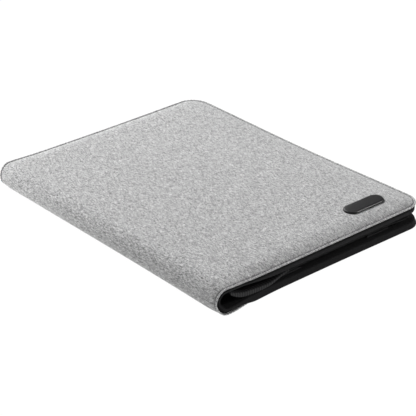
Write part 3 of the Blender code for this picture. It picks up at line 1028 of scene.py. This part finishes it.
def make_pocket(material):
    """Slack panel sewn inside the front cover, with round corners at the free edge."""
    half = POCKET_HALF
    sewn_x = SPINE_LOW.x + POCKET_EDGE_LINE[-1][0] * MM
    turn_x = POCKET_HIGH.x - POCKET_CORNER
    hanging, flat, turn = POCKET_COLUMNS
    columns = np.concatenate([np.linspace(POCKET_LOW.x, sewn_x, hanging)[:-1],
                              np.linspace(sewn_x, turn_x, flat)[:-1],
                              turn_x + POCKET_CORNER * np.sin(np.linspace(0, math.pi / 2, turn))])
    past = np.maximum(columns - turn_x, 0)
    ends = half - POCKET_CORNER + np.sqrt(np.maximum(POCKET_CORNER ** 2 - past ** 2, 0))
    across = np.sin(np.linspace(-math.pi / 2, math.pi / 2, POCKET_ROWS))
    x = columns[:, None].repeat(POCKET_ROWS, 1)
    y = ends[:, None] * across[None, :]
    points = np.stack([x, y, pocket_z(x, y)], axis=-1).reshape(-1, 3)
    faces = grid_faces(np.arange(x.size).reshape(x.shape).T)
    uv = points[:, :2] / UV_UNIT
    pocket = mesh_object("pocket_panel", points, faces, material, uv)
    thicken(pocket, POCKET_THICKNESS)
    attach(pocket, "front_cover")
    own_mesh(pocket)
    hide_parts("document_pocket")


def make_tape(name, side, material):
    """Ribbed binding over one loose edge of the pocket panel. Its outer side hangs below the panel."""
    low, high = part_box(name)
    steps = int((high.x - low.x) / TAPE_RIB * TAPE_STEPS_PER_RIB)
    outline = np.array(TAPE_OUTLINE) * MM
    hangs = outline[:, 2] / MM
    middle = np.array([-TAPE_WIDTH / 2, -TAPE_MIDDLE_DROP])
    points, uv = [], []
    for place in np.linspace(low.x, high.x, steps + 1):
        swell = 1 + TAPE_SWELL * math.cos(2 * math.pi * (place - low.x) / TAPE_RIB)
        out, lift = ((outline[:, :2] - middle) * swell + middle).T
        x = np.full(len(outline), place)
        z = pocket_z(x, side * np.minimum(POCKET_HALF + out, POCKET_HALF)) + lift - hangs * tape_drop(x)
        points.append(np.stack([x, side * (POCKET_HALF + out), z], axis=-1))
        uv.append(np.stack([x, outline[:, 0] + outline[:, 1]], axis=-1) / UV_UNIT)
    faces = loop_faces(steps + 1, len(outline))
    if side > 0:
        faces = flipped(faces)
    tape = mesh_object(name.replace("pocket_tape", "pocket_binding"), np.concatenate(points), faces, material,
                       np.concatenate(uv))
    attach(tape, "front_cover")
    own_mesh(tape)
    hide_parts(name)


# ---------------- elastic straps

STRAP_WIDTH = 16 * MM
STRAP_RIBS = 9
STRAP_RIB_HEIGHT = 0.10 * MM
STRAP_ARCH = 1.1 * MM
STRAP_THICKNESS = 0.45 * MM
STRAP_STEPS = 40
STRAP_ROWS = 36


def make_elastic(name, material):
    """Ribbed elastic band across one corner of the tablet's place, a little arched over it."""
    low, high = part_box(name)
    corner_x, toward_x = (low.x, 1) if "fold" in name else (high.x, -1)
    corner_y, toward_y = (low.y, 1) if "near" in name else (high.y, -1)
    span = high.x - low.x
    inner = span - STRAP_WIDTH * math.sqrt(2)
    w, t = np.meshgrid(np.linspace(0, 1, STRAP_ROWS + 1), np.linspace(0, 1, STRAP_STEPS + 1))
    reach = inner + (span - inner) * w
    x = corner_x + toward_x * reach * (1 - t)
    y = corner_y + toward_y * reach * t
    ribs = STRAP_RIB_HEIGHT * np.abs(np.sin(math.pi * STRAP_RIBS * w))
    arch = STRAP_ARCH * np.sin(math.pi * t) ** 1.2
    z = low.z + STRAP_THICKNESS + arch + ribs
    points = np.stack([x, y, z], axis=-1).reshape(-1, 3)
    faces = grid_faces(np.arange(x.size).reshape(x.shape).T)
    if toward_x * toward_y > 0:
        faces = flipped(faces)
    band_length = 1.41 * span
    uv = np.stack([t * band_length, w * STRAP_WIDTH], axis=-1).reshape(-1, 2) / UV_UNIT
    band = mesh_object(name.replace("strap", "elastic"), points, faces, material, uv)
    thicken(band, STRAP_THICKNESS)
    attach(band, "back_cover")
    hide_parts(name)


# ---------------- stage

FLOOR_HALF = 4.0
FLOOR_GAP = 0.05 * MM


def make_floor(level):
    """Pale table top that glows evenly, so that the case stands on white without a shadow."""
    nodes = Nodes("pale_floor", (0.02, 0.02, 0.02), 0.95)
    nodes.shading({"Specular IOR Level": 0.0, "Emission Color": (1, 1, 1, 1), "Emission Strength": 1.0})
    corners = [(-FLOOR_HALF, -FLOOR_HALF, 0), (FLOOR_HALF, -FLOOR_HALF, 0),
               (FLOOR_HALF, FLOOR_HALF, 0), (-FLOOR_HALF, FLOOR_HALF, 0)]
    floor = mesh_object("floor", corners, [(0, 1, 2, 3)], nodes.material)
    floor.location.z = level


# Name, position, point it is aimed at, width and height, power, spread in degrees
LIGHTS = (
    ("key", (0.60, 1.25, 0.80), (0, 0, 0), (0.8, 0.5), 11.0, 180),
    ("overhead", (0.0, 2.10, 1.75), (0, 0, 0), (1.7, 1.1), 109.0, 180),
    ("right", (0.78, -0.72, 0.56), (0, 0, 0), (0.35, 0.25), 4.2, 180),
    ("front", (-0.15, -1.30, 0.14), (0, 0, 0.01), (1.0, 0.2), 3.8, 180),
    ("left", (-0.40, 0.35, 0.045), (-0.10, 0.15, 0.01), (0.15, 0.06), 0.24, 75),
)
WORLD_STRENGTH = 0.07

CAMERA_LENS = 128.5
CAMERA_SENSOR = 36.0
CAMERA_PLACE = (-0.6607, -0.7626, 0.5202)
CAMERA_AZIMUTH = math.radians(-41.02)
CAMERA_ELEVATION = math.radians(27.41)
CAMERA_CLIP = (0.05, 20)


def make_lights():
    """Even white surroundings and the area lights."""
    world = bpy.data.worlds.new("studio")
    world.use_nodes = True
    background = world.node_tree.nodes["Background"]
    background.inputs["Color"].default_value = (1, 1, 1, 1)
    background.inputs["Strength"].default_value = WORLD_STRENGTH
    bpy.context.scene.world = world
    for name, position, target, size, power, spread in LIGHTS:
        data = bpy.data.lights.new(name, "AREA")
        data.shape = "RECTANGLE"
        data.size, data.size_y = size
        data.energy = power
        data.spread = math.radians(spread)
        light = bpy.data.objects.new(name, data)
        light.location = position
        light.rotation_euler = (Vector(position) - Vector(target)).to_track_quat("Z", "Y").to_euler()
        bpy.context.scene.collection.objects.link(light)


def make_camera():
    """Camera with a level horizon, above the case and beyond the fold's near end."""
    data = bpy.data.cameras.new("camera")
    data.lens = CAMERA_LENS
    data.sensor_width = CAMERA_SENSOR
    data.clip_start, data.clip_end = CAMERA_CLIP
    right = Vector((math.cos(CAMERA_AZIMUTH), math.sin(CAMERA_AZIMUTH), 0))
    back = Vector((math.sin(CAMERA_AZIMUTH) * math.cos(CAMERA_ELEVATION),
                   -math.cos(CAMERA_AZIMUTH) * math.cos(CAMERA_ELEVATION), math.sin(CAMERA_ELEVATION)))
    turn = Matrix((right, back.cross(right), back)).transposed().to_4x4()
    camera = bpy.data.objects.new("camera", data)
    bpy.context.scene.collection.objects.link(camera)
    camera.matrix_world = Matrix.Translation(CAMERA_PLACE) @ turn
    bpy.context.scene.camera = camera


def main():
    """Everything but the floor."""
    make_camera()
    make_lights()
    bpy.context.scene.view_settings.view_transform = "Standard"

    heather = heather_fabric()
    lining = black_lining()
    foam = foam_material()
    board = board_material()
    grey_thread = sewing_thread("grey_thread", (0.15, 0.15, 0.152))
    tape = ribbed_textile("binding_tape", (0.0115, 0.0115, 0.012), TAPE_RIB / MM, 0.7)
    elastic = ribbed_textile("elastic_webbing", (0.022, 0.022, 0.023), 0.6, 0.8)
    satin = patch_material()

    for side in ("back", "front"):
        make_cloth(side, heather)
        make_seam(side, grey_thread)
        make_lining(side, lining)
        make_padding(side, foam)
        make_board(side, board)
    make_patch(satin)
    make_pocket(lining)
    make_tape("pocket_tape_near", -1, tape)
    make_tape("pocket_tape_far", 1, tape)
    for name in ("strap_fold_near", "strap_fold_far", "strap_edge_near", "strap_edge_far"):
        make_elastic(name, elastic)


main()
visual_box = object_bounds()
make_floor(visual_box[0].z - FLOOR_GAP)
